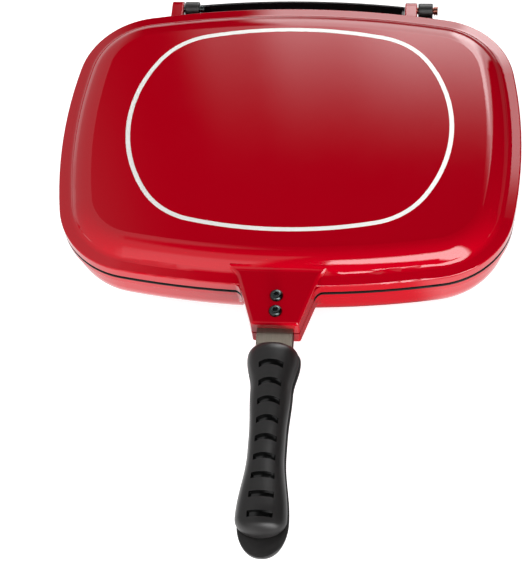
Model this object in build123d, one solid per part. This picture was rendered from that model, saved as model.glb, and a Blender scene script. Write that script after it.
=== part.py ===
from build123d import *

import math
import os

# A double sided flip pan: two die-cast halves, hinged at the back, each with a
# handle of its own.  The pan lies closed on its base.  The origin is the centre
# of the base, +Z is up, +Y points at the hinge and the handles point to -Y.
# All sizes are millimetres, and all angles degrees.

# ---- rim outline: four bowed sides joined by four corner arcs ----
PAN_LENGTH = 320.0
PAN_DEPTH = 233.6
SIDE_BOW_R = 345.0
FRONT_BOW_R = 622.0
CORNER_R = 57.5

# ---- heights ----
LOWER_HEIGHT = 45.0
UPPER_HEIGHT = 20.0
RIM_GAP = 1.4

# ---- lower half: lip, wall, bottom curve and inside ----
LIP_HEIGHT = 5.7
LIP_STEP = 2.6
LIP_SLANT = 1.2
LIP_EDGE_R = 0.8
WALL_DRAFT = 2.0
BOTTOM_R = 27.0
FLOOR_T = 4.5
RIM_FACE = 9.5
LOWER_INNER_DRAFT = 1.7
INNER_BOTTOM_R = 20.0

# ---- upper half: flange, crease, shoulder and inside ----
FLANGE_HEIGHT = 8.4
FLANGE_EDGE_R = 1.2
FLANGE_WIDTH = 8.5
FLANGE_RISE = 1.6
CREASE_R = 5.0
SHOULDER_RUN = 6.8
SHOULDER_R = 17.5
CEILING_T = 4.0
UPPER_RIM_FACE = 11.5
UPPER_INNER_RUN = 7.0
UPPER_INNER_R = 9.0

# ---- grill ribs inside the upper half ----
RIB_PITCH = 11.0
RIB_BASE = 4.4
RIB_CREST = 2.4
RIB_HEIGHT = 2.4
RIB_MARGIN = 3.0

# ---- decorative ring cut into the lid ----
RING_HALF_LENGTH = 112.1
RING_HALF_DEPTH = 84.0
RING_SIDE_R = 99.3
RING_FRONT_R = 301.0
RING_CORNER_R = 52.5
RING_BACK = 5.0
RING_WIDTH = 3.3
RING_GROOVE = 0.3

# ---- seal ----
SEAL_INSET = 3.0
SEAL_WIDTH = 4.2
SEAL_GROOVE = 4.0
SEAL_PLAY = 0.1
SEAL_CLEARANCE = 0.3
SEAL_CROWN_R = 1.4

# ---- hinge ----
HINGE_X = 85.7
HINGE_OUT = 6.2
HINGE_PLAY = 0.8
LUG_WIDTH = 8.7
KNUCKLE_WIDTH = 10.5
LUG_R = 5.5
KNUCKLE_R = 5.4
KNUCKLE_EDGE = 0.8
PIN_R = 2.5
PIN_PLAY = 0.05
PIN_PRESS = 0.02
PIN_NECK = 1.0
PIN_HEAD_R = 3.3
PIN_HEAD = 2.6
PIN_GROOVE = 0.6
HINGE_ROOT = 3.0

# ---- drip tray and the two pegs that carry it ----
TRAY_SIDE_GAP = 0.4
TRAY_RIM_GAP = 0.8
TRAY_WALL = 1.6
TRAY_OUT = 16.8
TRAY_TOP = 42.5
TRAY_END_TOP = 40.6
TRAY_FLOOR_Z = 28.0
TRAY_EDGE_R = 0.6
TRAY_BACK_R = 1.2
TRAY_INNER_R = 2.5
TRAY_OUTER_R = 4.0
TRAY_LIP_GAP = 0.6
TRAY_PAN_GAP = 0.6
PEG_X = 45.0
PEG_R = 3.0
PEG_Z = 33.0
PEG_OUT = 6.0
PEG_ROOT = 3.0
PEG_PLAY = 0.3
PEG_CHAMFER = 0.8
SOCKET_WALL = 1.2

# ---- brackets cast with each half; reach and run are counted from the rim's front ----
BRACKET_REACH = 30.2
BRACKET_END_HALF = 15.8
BRACKET_ROOT_HALF = 25.5
BRACKET_END_HEIGHT = 12.5
BRACKET_ROOT_HEIGHT = 13.4
BRACKET_ROOT_IN = 10.4
BRACKET_FLARE_R = 8.0
BRACKET_FLARE_OUT = 12.0
BRACKET_BITE = 0.6
BRACKET_TOP_FLARE_OUT = 5.0
BRACKET_TOP_FLARE_RUN = 5.0
BRACKET_ROOT = 2.5
BRACKET_BURY = 2.0
BRACKET_KNEE_R = 5.0
BRACKET_END_CORNER_R = 1.5
BRACKET_EDGE_R = 2.2
BRACKET_WALL = 3.3
BRACKET_ROOF = 4.0
BRACKET_CORE_R = 2.0
LOWER_KNEE_OUT = 5.0
LOWER_KNEE_R = 10.0
LOWER_KNEE_DROP = 9.0

# ---- tangs and their screws, counted from the rim's front ----
TANG_WIDTH = 23.6
TANG_T = 4.0
TANG_DROP = 2.5
TANG_START = 2.5
TANG_NECK = 49.0
TANG_TAPER = 10.0
TANG_NECK_WIDTH = 14.0
TANG_END = 113.0
TANG_CORNER_R = 3.0
TANG_PLAY = 0.1

SCREW_REAR = 9.2
SCREW_SPACING = 11.5
SCREW_R = 2.5
SCREW_HEAD_R = 4.2
SCREW_HEAD = 2.7
SCREW_PLAY = 0.05
SCREW_BORE_PLAY = 0.25
SPOTFACE_R = 4.6
SPOTFACE_DEPTH = 0.5
SOCKET_HEX = 3.0
SOCKET_DEPTH = 1.7
BOSS_HALF = 7.0

# ---- grips; places along a grip are counted from its nose ----
GRIP_GAP = 1.2
GRIP_NOSE_GAP = 10.1
GRIP_BULGE_HALF = 16.6
GRIP_WAIST = 63.2
GRIP_WAIST_HALF = 12.2
GRIP_FLARE_HALF = 16.8
UPPER_GRIP_LENGTH = 130.6
LOWER_GRIP_LENGTH = 141.0
GRIP_TIP_CORNER_R = 11.0
GRIP_TIP_R = 24.0
GRIP_TAPER = 14.0
GRIP_NOSE_RISE = 15.2
GRIP_WAIST_RISE = 12.2
GRIP_FLARE_RISE = 13.6
GRIP_TIP_RISE = 8.5
GRIP_NOSE_R = 12.0
GRIP_WAIST_R = 150.0
GRIP_FLARE_R = 40.0
GRIP_FLARE_RUN = 15.0
GRIP_EDGE_R = 8.5
GRIP_FACE_EDGE_R = 0.8
SLOT_COUNT = 9
SLOT_FIRST = 20.3
SLOT_PITCH = 12.76
SLOT_WIDTH = 3.6
SLOT_DEPTH = 2.2
SLOT_WAIST_HALF = 6.3
SLOT_SPREAD = 0.3
SLOT_CORNER_R = 1.3

# ---- grip screws and magnets ----
GRIP_SCREW = 45.5
GRIP_SCREW_R = 1.75
GRIP_SCREW_HEAD_R = 3.4
GRIP_SCREW_HEAD = 1.7
GRIP_SCREW_LENGTH = 8.0
GRIP_SCREW_SLOT = 0.9
GRIP_SCREW_SLOT_WIDTH = 0.9
MAGNET = 95.0
MAGNET_R = 6.0
MAGNET_T = 3.0
MAGNET_CHAMFER = 0.3

# ---- derived ----
HALF_LENGTH = PAN_LENGTH / 2
HALF_DEPTH = PAN_DEPTH / 2
PARTING_Z = LOWER_HEIGHT
LOWER_RIM_Z = PARTING_Z - RIM_GAP / 2
UPPER_RIM_Z = PARTING_Z + RIM_GAP / 2
LID_Z = PARTING_Z + UPPER_HEIGHT
HINGE_Y = HALF_DEPTH + HINGE_OUT
GRIP_FACE = GRIP_GAP / 2
BRACKET_END_Y = HALF_DEPTH + BRACKET_REACH
BRACKET_ROOT_Y = HALF_DEPTH - BRACKET_ROOT_IN
TANG_START_Y = HALF_DEPTH + TANG_START
TANG_NECK_Y = HALF_DEPTH + TANG_NECK
TANG_END_Y = HALF_DEPTH + TANG_END
SCREW_Y = (HALF_DEPTH + SCREW_REAR, HALF_DEPTH + SCREW_REAR + SCREW_SPACING)
GRIP_NOSE_Y = BRACKET_END_Y + GRIP_NOSE_GAP
GRIP_WAIST_Y = GRIP_NOSE_Y + GRIP_WAIST
UPPER_GRIP_TIP_Y = GRIP_NOSE_Y + UPPER_GRIP_LENGTH
LOWER_GRIP_TIP_Y = GRIP_NOSE_Y + LOWER_GRIP_LENGTH
SLOT_FIRST_Y = GRIP_NOSE_Y + SLOT_FIRST
GRIP_SCREW_Y = GRIP_NOSE_Y + GRIP_SCREW
MAGNET_Y = GRIP_NOSE_Y + MAGNET
OUTER_TURN = LIP_STEP + WALL_DRAFT + BOTTOM_R
INNER_TURN = RIM_FACE + LOWER_INNER_DRAFT + INNER_BOTTOM_R
SWEEP_INSET = max(OUTER_TURN, INNER_TURN) + 4.0
CREASE_Z = UPPER_RIM_Z + FLANGE_HEIGHT + FLANGE_RISE
SHOULDER_SLOPE = (LID_Z - CREASE_Z) / SHOULDER_RUN
TANG_TOP = TANG_DROP + TANG_T


def away(start, point, distance):
    """The point at a distance from start, in the direction of point."""
    dx, dy = point[0] - start[0], point[1] - start[1]
    length = math.hypot(dx, dy)
    return (start[0] + dx / length * distance, start[1] + dy / length * distance)


def circles_meet(first, first_r, second, second_r):
    """Where two circles cross, on the side furthest towards +X and +Y."""
    dx, dy = second[0] - first[0], second[1] - first[1]
    apart = math.hypot(dx, dy)
    along = (first_r**2 - second_r**2 + apart**2) / (2 * apart)
    across = math.sqrt(first_r**2 - along**2)
    foot = (first[0] + along * dx / apart, first[1] + along * dy / apart)
    shift = (-across * dy / apart, across * dx / apart)
    crossings = [(foot[0] + s * shift[0], foot[1] + s * shift[1]) for s in (1, -1)]
    return max(crossings, key=sum)


def bowed_line(half_x, half_y, side_r, front_r, corner_r, inset=0.0, z=0.0):
    """Closed outline of four bowed sides and four corner arcs, moved in by inset.
    It starts at the middle of the +X side and runs anticlockwise."""
    half_x, half_y = half_x - inset, half_y - inset
    side_r, front_r, corner_r = side_r - inset, front_r - inset, corner_r - inset
    side_centre = (half_x - side_r, 0.0)
    front_centre = (0.0, half_y - front_r)
    centre = circles_meet(side_centre, side_r - corner_r, front_centre, front_r - corner_r)
    side_end = away(side_centre, centre, side_r)
    front_end = away(front_centre, centre, front_r)
    middle = ((side_end[0] + front_end[0]) / 2, (side_end[1] + front_end[1]) / 2)
    corner = away(centre, middle, corner_r)
    half_angle = math.atan2(side_end[1], side_end[0] - side_centre[0]) / 2
    quarter = (side_centre[0] + side_r * math.cos(half_angle), side_r * math.sin(half_angle))

    def at(point, sx, sy):
        return (sx * point[0], sy * point[1], z)

    side, front = (half_x, 0.0), (0.0, half_y)
    arcs = [
        (at(side, 1, 1), at(quarter, 1, 1), at(side_end, 1, 1)),
        (at(side_end, 1, 1), at(corner, 1, 1), at(front_end, 1, 1)),
        (at(front_end, 1, 1), at(front, 1, 1), at(front_end, -1, 1)),
        (at(front_end, -1, 1), at(corner, -1, 1), at(side_end, -1, 1)),
        (at(side_end, -1, 1), at(side, -1, 1), at(side_end, -1, -1)),
        (at(side_end, -1, -1), at(corner, -1, -1), at(front_end, -1, -1)),
        (at(front_end, -1, -1), at(front, 1, -1), at(front_end, 1, -1)),
        (at(front_end, 1, -1), at(corner, 1, -1), at(side_end, 1, -1)),
        (at(side_end, 1, -1), at(quarter, 1, -1), at(side, 1, -1)),
    ]
    return Wire([ThreePointArc(*arc).edge() for arc in arcs])


def rim_line(inset=0.0, z=0.0):
    """The rim's outline, moved in by inset, at height z."""
    return bowed_line(HALF_LENGTH, HALF_DEPTH, SIDE_BOW_R, FRONT_BOW_R, CORNER_R, inset, z)


def ring_line(inset):
    """The outline of the decorative ring, moved in by inset, on the lid."""
    outline = bowed_line(
        RING_HALF_LENGTH, RING_HALF_DEPTH, RING_SIDE_R, RING_FRONT_R, RING_CORNER_R, inset, LID_Z
    )
    return Pos(0, RING_BACK, 0) * outline


def rim_y(x, inset=0.0):
    """How far the front or back of the rim lies from the X axis, at x."""
    radius = FRONT_BOW_R - inset
    return HALF_DEPTH - FRONT_BOW_R + math.sqrt(radius**2 - x**2)


def rounded_face(corners):
    """A flat face with the corners (u, v, radius), each rounded by its own radius."""
    stops = []
    for i, (u, v, radius) in enumerate(corners):
        here, before, after = (u, v), corners[i - 1][:2], corners[(i + 1) % len(corners)][:2]
        if radius == 0:
            stops.append((here, None, here))
            continue
        one, two = away(here, before, 1.0), away(here, after, 1.0)
        half = math.asin(math.hypot(one[0] - two[0], one[1] - two[1]) / 2)
        reach = radius / math.tan(half)
        inner = ((one[0] + two[0]) / 2, (one[1] + two[1]) / 2)
        crown = away(here, inner, radius / math.sin(half) - radius)
        stops.append((away(here, before, reach), crown, away(here, after, reach)))
    edges = []
    for i, (start, crown, end) in enumerate(stops):
        if crown is not None:
            edges.append(ThreePointArc(start, crown, end).edge())
        edges.append(Line(end, stops[(i + 1) % len(stops)][0]).edge())
    return make_face(Wire(edges))


def prism(corners, low, high):
    """A plan of rounded corners, standing from height low to high."""
    return extrude(Plane.XY.offset(low) * rounded_face(corners), high - low, dir=(0, 0, 1))


def side_prism(corners, x_from, x_to):
    """A side view of rounded corners (y, z, radius), running along X."""
    return extrude(Plane.YZ.offset(x_from) * rounded_face(corners), x_to - x_from, dir=(1, 0, 0))


def rod(radius, x, y, low, high):
    """An upright cylinder."""
    return Pos(x, y, (low + high) / 2) * Cylinder(radius, high - low)


def cross_rod(radius, x_from, x_to):
    """A cylinder about the hinge axis."""
    place = Pos((x_from + x_to) / 2, HINGE_Y, PARTING_Z) * Rot(0, 90, 0)
    return place * Cylinder(radius, x_to - x_from)


def rim_sweep(corners):
    """A section of corners (inset, z, radius), carried round the rim."""
    section = rounded_face([(HALF_LENGTH - inset, z, r) for inset, z, r in corners])
    return sweep(Plane.XZ * section, path=rim_line())


def mirrored(shape):
    """The same shape on the other side of the parting plane."""
    return mirror(shape, about=Plane.XY.offset(PARTING_Z))


# ---- the two cast halves ----


def lower_shell():
    """Deep half: lip, drafted wall, wide bottom curve and flat base."""
    foot = LIP_STEP + WALL_DRAFT
    wall = rim_sweep([
        (0.0, LOWER_RIM_Z, LIP_EDGE_R),
        (0.0, LOWER_RIM_Z - LIP_HEIGHT, LIP_EDGE_R),
        (LIP_STEP, LOWER_RIM_Z - LIP_HEIGHT - LIP_SLANT, LIP_EDGE_R),
        (foot, 0.0, BOTTOM_R),
        (SWEEP_INSET, 0.0, 0.0),
        (SWEEP_INSET, FLOOR_T, 0.0),
        (RIM_FACE + LOWER_INNER_DRAFT, FLOOR_T, INNER_BOTTOM_R),
        (RIM_FACE, LOWER_RIM_Z, LIP_EDGE_R),
    ])
    floor = extrude(make_face(rim_line(SWEEP_INSET)), FLOOR_T, dir=(0, 0, 1))
    return wall + floor


def upper_shell():
    """Shallow half: flange, crease, rounded shoulder, flat top and ring groove."""
    flange_z = UPPER_RIM_Z + FLANGE_HEIGHT
    inner_z = LID_Z - CEILING_T
    wall = rim_sweep([
        (0.0, UPPER_RIM_Z, LIP_EDGE_R),
        (0.0, flange_z, FLANGE_EDGE_R),
        (FLANGE_WIDTH, CREASE_Z, CREASE_R),
        (FLANGE_WIDTH + SHOULDER_RUN, LID_Z, SHOULDER_R),
        (SWEEP_INSET, LID_Z, 0.0),
        (SWEEP_INSET, inner_z, 0.0),
        (UPPER_RIM_FACE + UPPER_INNER_RUN, inner_z, UPPER_INNER_R),
        (UPPER_RIM_FACE, UPPER_RIM_Z, LIP_EDGE_R),
    ])
    roof = extrude(make_face(rim_line(SWEEP_INSET, inner_z)), CEILING_T, dir=(0, 0, 1))
    ring = make_face(ring_line(-RING_WIDTH / 2)) - make_face(ring_line(RING_WIDTH / 2))
    return wall + roof + grill_ribs() - extrude(ring, RING_GROOVE, dir=(0, 0, -1))


def grill_ribs():
    """Tapered ribs on the inside of the upper half, running front to back."""
    ceiling = LID_Z - CEILING_T
    crest = ceiling - RIB_HEIGHT
    inset = UPPER_RIM_FACE + UPPER_INNER_RUN + UPPER_INNER_R + RIB_MARGIN
    count = 2 * int((HALF_LENGTH - inset - RIB_BASE) / RIB_PITCH) + 1
    section = Plane.XZ.offset(-HALF_DEPTH) * make_face(Polyline(
        (-RIB_BASE / 2, ceiling + 1.0),
        (-RIB_BASE / 2, ceiling),
        (-RIB_CREST / 2, crest),
        (RIB_CREST / 2, crest),
        (RIB_BASE / 2, ceiling),
        (RIB_BASE / 2, ceiling + 1.0),
        close=True,
    ))
    rib = extrude(section, PAN_DEPTH, dir=(0, -1, 0))
    ribs = [Pos((i - count // 2) * RIB_PITCH, 0, 0) * rib for i in range(count)]
    field = extrude(make_face(rim_line(inset, crest)), RIB_HEIGHT + 1.0, dir=(0, 0, 1))
    return Part() + ribs & field


def seal_groove():
    """The groove in the lower rim that holds the seal."""
    floor_z = LOWER_RIM_Z - SEAL_GROOVE
    return rim_sweep([
        (SEAL_INSET, LOWER_RIM_Z + 1.0, 0.0),
        (SEAL_INSET, floor_z, 0.0),
        (SEAL_INSET + SEAL_WIDTH, floor_z, 0.0),
        (SEAL_INSET + SEAL_WIDTH, LOWER_RIM_Z + 1.0, 0.0),
    ])


# ---- brackets, modelled on the upper half; the lower ones are mirrored ----


def bracket_half_width(y):
    """Half width of a bracket's straight taper, y in front of the origin."""
    share = (y - HALF_DEPTH) / (BRACKET_END_Y - HALF_DEPTH)
    return BRACKET_ROOT_HALF + (BRACKET_END_HALF - BRACKET_ROOT_HALF) * share


def bracket_top(y):
    """Height of a bracket's outer face above the parting plane's own height."""
    share = (y - BRACKET_ROOT_Y) / (BRACKET_END_Y - BRACKET_ROOT_Y)
    height = BRACKET_ROOT_HEIGHT + (BRACKET_END_HEIGHT - BRACKET_ROOT_HEIGHT) * share
    return PARTING_Z + height


def mirror_plan(right):
    """A closed plan from its right side, front to back, mirrored to the left."""
    return [(-x, y, r) for x, y, r in reversed(right)] + right


def bracket_plan(flare_y, out_x, out_y, back_y):
    """Plan of a bracket: a straight taper that flares out where it meets the pan."""
    waist = bracket_half_width(flare_y)
    return mirror_plan([
        (BRACKET_END_HALF, -BRACKET_END_Y, BRACKET_END_CORNER_R),
        (waist, -flare_y, BRACKET_FLARE_R),
        (waist + out_x, -out_y, 0.0),
        (waist + out_x, -back_y, 0.0),
    ])


def rim_flare(inset, low, high):
    """The foot of a bracket where it grows out of a wall that lies inset from the rim."""
    reach = BRACKET_ROOT_HALF + BRACKET_FLARE_OUT
    bite = inset + BRACKET_BITE
    out_y = rim_y(reach, bite)
    flare_y = rim_y(BRACKET_ROOT_HALF, bite)
    return prism(bracket_plan(flare_y, BRACKET_FLARE_OUT, out_y, out_y - BRACKET_ROOT), low, high)


def soften(wedge, back_y):
    """Rounds the outer edges of a bracket's top, back to back_y."""
    edges = [
        edge for edge in wedge.edges()
        if edge.center().Z > PARTING_Z + BRACKET_END_HEIGHT - 0.5
        and -BRACKET_END_Y - 0.1 < edge.center().Y < -back_y - 0.5
        and (abs(edge.center().X) > 1.0 or edge.center().Y < 0.1 - BRACKET_END_Y)
    ]
    return fillet(edges, BRACKET_EDGE_R)


def upper_bracket():
    """Runs flat out of the lid's shoulder, over the flange, and tapers forward."""
    top_z = bracket_top(BRACKET_ROOT_Y)
    bite = BRACKET_BITE * SHOULDER_SLOPE
    knee_in = FLANGE_WIDTH + BRACKET_BITE + (top_z - CREASE_Z) / SHOULDER_SLOPE
    hidden_z = top_z + BRACKET_BURY
    hidden_in = knee_in + BRACKET_BURY / SHOULDER_SLOPE
    foot_in = UPPER_RIM_FACE - BRACKET_BURY
    side = [
        (foot_in - HALF_DEPTH, UPPER_RIM_Z, 0.0),
        (-BRACKET_END_Y, UPPER_RIM_Z, 0.0),
        (-BRACKET_END_Y, bracket_top(BRACKET_END_Y), 0.0),
        (knee_in - HALF_DEPTH, bracket_top(HALF_DEPTH - knee_in), BRACKET_KNEE_R),
        (hidden_in - HALF_DEPTH, hidden_z, 0.0),
        (hidden_in - HALF_DEPTH + bite, hidden_z, 0.0),
    ]
    flare_y = HALF_DEPTH - FLANGE_WIDTH + CREASE_R / 2
    out_y = flare_y - BRACKET_TOP_FLARE_RUN
    back_y = HALF_DEPTH - hidden_in - 2 * BRACKET_BURY
    plan = bracket_plan(flare_y, BRACKET_TOP_FLARE_OUT, out_y, back_y)
    wedge = prism(plan, UPPER_RIM_Z, LID_Z) & side_prism(side, -HALF_LENGTH, HALF_LENGTH)
    foot = rim_flare(0.0, UPPER_RIM_Z, UPPER_RIM_Z + FLANGE_HEIGHT - BRACKET_BITE)
    return soften(wedge, flare_y) + foot


def lower_bracket():
    """Grows out of the lower half's wall. Modelled above the parting plane, then mirrored."""
    wall = LIP_STEP + WALL_DRAFT / 2
    wall_y = HALF_DEPTH - wall
    knee_y = wall_y + LOWER_KNEE_OUT
    back_y = wall_y - BRACKET_ROOT - 1.0
    low_z = bracket_top(knee_y) + LOWER_KNEE_DROP
    side = [
        (-back_y, UPPER_RIM_Z, 0.0),
        (-BRACKET_END_Y, UPPER_RIM_Z, 0.0),
        (-BRACKET_END_Y, bracket_top(BRACKET_END_Y), 0.0),
        (-knee_y, bracket_top(knee_y), LOWER_KNEE_R),
        (-wall_y + 2.0, low_z, 0.0),
        (-back_y, low_z, 0.0),
    ]
    bite = wall + BRACKET_BITE
    out_y = rim_y(BRACKET_ROOT_HALF + BRACKET_FLARE_OUT, bite)
    plan = bracket_plan(rim_y(BRACKET_ROOT_HALF, bite), BRACKET_FLARE_OUT, out_y, back_y)
    wedge = prism(plan, UPPER_RIM_Z, low_z + 1.0) & side_prism(side, -HALF_LENGTH, HALF_LENGTH)
    foot = rim_flare(0.0, UPPER_RIM_Z, UPPER_RIM_Z + LIP_HEIGHT)
    return mirrored(soften(wedge, wall_y + 1.0) + foot)


def bracket_hollow():
    """What is cut out of the upper bracket: its underside, less the screw boss, the way
    out for the tang, the screw bores and their flat seats."""
    roof = bracket_top(BRACKET_END_Y) - BRACKET_ROOF
    inner_end = BRACKET_END_Y - BRACKET_WALL
    start = HALF_DEPTH + 1.0
    right = [
        (bracket_half_width(inner_end) - BRACKET_WALL, -inner_end, BRACKET_CORE_R / 2),
        (bracket_half_width(start) - BRACKET_WALL, -start, BRACKET_CORE_R),
    ]
    hollow = prism(mirror_plan(right), PARTING_Z, roof)
    tang_top = PARTING_Z + TANG_TOP
    boss_end = SCREW_Y[-1] + SPOTFACE_R
    boss = Pos(0, -(start + boss_end) / 2, (tang_top + roof) / 2) * Box(
        2 * BOSS_HALF, boss_end - start + 2.0, roof - tang_top
    )
    exit_half = TANG_WIDTH / 2 + TANG_PLAY
    way_out = prism(
        mirror_plan([(exit_half, -BRACKET_END_Y - 1.0, 0.0), (exit_half, -inner_end + 1.0, 0.0)]),
        PARTING_Z,
        tang_top + TANG_PLAY,
    )
    cut = hollow - boss + way_out
    for y in SCREW_Y:
        seat = screw_seat(y)
        cut += rod(SCREW_R + SCREW_BORE_PLAY, 0, -y, tang_top - 1.0, seat + 1.0)
        cut += rod(SPOTFACE_R, 0, -y, seat, seat + 4.0)
    return cut


# ---- hinge ----


def hinge_span(side, of_lug):
    """Where a lug or a knuckle starts and ends along X; side is -1 or 1."""
    centre = side * HINGE_X
    if of_lug:
        return centre - HINGE_PLAY / 2 - LUG_WIDTH, centre - HINGE_PLAY / 2
    return centre + HINGE_PLAY / 2, centre + HINGE_PLAY / 2 + KNUCKLE_WIDTH


def hinge_eye(side, of_lug):
    """A lug of the upper half or a knuckle of the lower half, with its arm into the rim."""
    x_from, x_to = hinge_span(side, of_lug)
    radius = LUG_R if of_lug else KNUCKLE_R
    root = rim_y(max(abs(x_from), abs(x_to))) - HINGE_ROOT
    face_z = UPPER_RIM_Z if of_lug else LOWER_RIM_Z
    far_z = PARTING_Z + radius if of_lug else PARTING_Z - radius
    low, high = min(face_z, far_z), max(face_z, far_z)
    corners = [(root, low, 0), (HINGE_Y, low, 0), (HINGE_Y, high, 0), (root, high, 0)]
    arm = side_prism(corners, x_from, x_to)
    eye = arm + cross_rod(radius, x_from, x_to)
    ends = [e for e in eye.edges() if e.bounding_box().size.X < 0.01 and e.center().Y > root + 1.0]
    return fillet(ends, KNUCKLE_EDGE)


def hinge_bore(side, of_lug):
    x_from, x_to = hinge_span(side, of_lug)
    radius = PIN_R - PIN_PRESS if of_lug else PIN_R + PIN_PLAY
    return cross_rod(radius, x_from - 1.0, x_to + 1.0)


def hinge_pin(side):
    """Pressed into the lug, free in the knuckle, with a grooved head at the +X end."""
    start = hinge_span(side, True)[0]
    neck = hinge_span(side, False)[1] + PIN_NECK
    rim = (PIN_HEAD - PIN_GROOVE) / 2
    head = cross_rod(PIN_HEAD_R, neck, neck + PIN_HEAD) - (
        cross_rod(PIN_HEAD_R + 1.0, neck + rim, neck + rim + PIN_GROOVE)
        - cross_rod(PIN_HEAD_R - PIN_GROOVE, neck, neck + PIN_HEAD)
    )
    return cross_rod(PIN_R, start, neck + PIN_HEAD / 2) + head


# ---- drip tray ----


def tray_arc(section, x_from, x_to):
    """A section (inset, z, radius) carried along the rear bow, from x_from to x_to."""
    centre = HALF_DEPTH - FRONT_BOW_R
    left, right = [math.degrees(math.asin(x / (FRONT_BOW_R + TRAY_OUT))) for x in (x_from, x_to)]
    axis = Axis((0, centre, 0), (0, 0, 1))
    face = Plane.YZ * rounded_face([(HALF_DEPTH - inset, z, r) for inset, z, r in section])
    return revolve(face, axis=axis, revolution_arc=right - left).rotate(axis, -right)


def tray_back():
    """Inset of the tray's face that lies against the pan's wall, under the lip."""
    return LIP_STEP - TRAY_PAN_GAP


def drip_tray():
    """Curved gutter behind the rim, from the left knuckle to the right lug, with closed
    ends and two sockets for the pegs."""
    back = tray_back()
    inner, outer = TRAY_WALL - TRAY_OUT, -TRAY_OUT
    back_top = LOWER_RIM_Z - LIP_HEIGHT - LIP_SLANT - TRAY_LIP_GAP
    left = hinge_span(-1, False)[1] + TRAY_SIDE_GAP
    right = hinge_span(1, True)[0] - TRAY_SIDE_GAP
    block = tray_arc([
        (back, TRAY_FLOOR_Z, TRAY_BACK_R),
        (back, back_top, 0.0),
        (-TRAY_RIM_GAP, back_top, 0.0),
        (-TRAY_RIM_GAP, TRAY_END_TOP, 0.0),
        (inner, TRAY_END_TOP, 0.0),
        (inner, TRAY_TOP, TRAY_EDGE_R),
        (outer, TRAY_TOP, TRAY_EDGE_R),
        (outer, TRAY_FLOOR_Z, TRAY_OUTER_R),
    ], left, right)
    trough = tray_arc([
        (back - TRAY_WALL, TRAY_TOP + 1.0, 0.0),
        (back - TRAY_WALL, TRAY_FLOOR_Z + TRAY_WALL, 0.0),
        (inner, TRAY_FLOOR_Z + TRAY_WALL, TRAY_INNER_R),
        (inner, TRAY_TOP + 1.0, 0.0),
    ], left + TRAY_WALL, right - TRAY_WALL)
    tray = block - trough
    wall_y, tip_y = rim_y(PEG_X, back), rim_y(PEG_X) + PEG_OUT + PEG_PLAY
    bore_r = PEG_R + PEG_PLAY
    for x in (-PEG_X, PEG_X):
        tray += y_rod(bore_r + SOCKET_WALL, x, wall_y + TRAY_WALL / 2, tip_y + SOCKET_WALL)
        tray -= y_rod(bore_r, x, wall_y - 2.0, tip_y)
    return tray


def y_rod(radius, x, y_from, y_to):
    """A cylinder along Y at the pegs' height."""
    return Pos(x, (y_from + y_to) / 2, PEG_Z) * Rot(90, 0, 0) * Cylinder(radius, y_to - y_from)


def tray_pegs():
    """Two cast pegs behind the lower half's wall, which the tray is pushed onto."""
    root_y = rim_y(PEG_X) - LIP_STEP - WALL_DRAFT - PEG_ROOT
    tip_y = rim_y(PEG_X) + PEG_OUT
    pegs = [y_rod(PEG_R, side * PEG_X, root_y, tip_y) for side in (-1, 1)]
    return [chamfer(peg.edges().sort_by(Axis.Y)[-1], PEG_CHAMFER) for peg in pegs]


# ---- whole halves ----


def lower_pan():
    pan = lower_shell() + lower_bracket()
    pan += tray_pegs()
    pan += [hinge_eye(side, False) for side in (-1, 1)]
    pan -= [hinge_bore(side, False) for side in (-1, 1)]
    return pan - seal_groove() - mirrored(bracket_hollow())


def upper_pan():
    pan = upper_shell() + upper_bracket()
    pan += [hinge_eye(side, True) for side in (-1, 1)]
    pan -= [hinge_bore(side, True) for side in (-1, 1)]
    return pan - bracket_hollow()


def silicone_gasket():
    """Seal in the lower rim's groove, its crown just clear of the upper rim."""
    floor_z = LOWER_RIM_Z - SEAL_GROOVE
    crown_z = UPPER_RIM_Z - SEAL_CLEARANCE
    near, far = SEAL_INSET + SEAL_PLAY, SEAL_INSET + SEAL_WIDTH - SEAL_PLAY
    return rim_sweep([
        (near, crown_z, SEAL_CROWN_R),
        (near, floor_z, 0.0),
        (far, floor_z, 0.0),
        (far, crown_z, SEAL_CROWN_R),
    ])


# ---- handles, modelled on the upper half; the lower ones are mirrored ----


def tang_plan(play):
    half, neck = TANG_WIDTH / 2 + play, TANG_NECK_WIDTH / 2 + play
    return mirror_plan([
        (neck, -TANG_END_Y - play, TANG_CORNER_R),
        (neck, -TANG_NECK_Y - TANG_TAPER, TANG_CORNER_R),
        (half, -TANG_NECK_Y, TANG_CORNER_R),
        (half, -TANG_START_Y + play, 1.0),
    ])


def tang():
    """Flat steel bar: bolted under the bracket's boss, narrower inside the grip."""
    low = PARTING_Z + TANG_DROP
    bar = prism(tang_plan(0.0), low, low + TANG_T)
    for y in SCREW_Y:
        bar -= rod(SCREW_R + SCREW_PLAY, 0, -y, low - 1.0, low + TANG_T + 1.0)
    return bar - rod(GRIP_SCREW_R + SCREW_PLAY, 0, -GRIP_SCREW_Y, low - 1.0, low + TANG_T + 1.0)


def screw_seat(y):
    """Height of the flat seat under a tang screw's head."""
    return bracket_top(y) - SPOTFACE_DEPTH


def tang_screw(y):
    """Button head screw with a hexagon socket, from the bracket down into the tang."""
    seat = screw_seat(y)
    head = rod(SCREW_HEAD_R, 0, -y, seat, seat + SCREW_HEAD)
    head = fillet(head.edges().sort_by(Axis.Z)[-1], SCREW_HEAD * 0.75)
    shank = rod(SCREW_R, 0, -y, PARTING_Z + TANG_DROP + 0.3, seat)
    top = seat + SCREW_HEAD - SOCKET_DEPTH
    socket = extrude(
        Pos(0, -y, top) * RegularPolygon(SOCKET_HEX / 2, 6, major_radius=False), SOCKET_DEPTH + 1.0
    )
    return head + shank - socket


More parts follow.
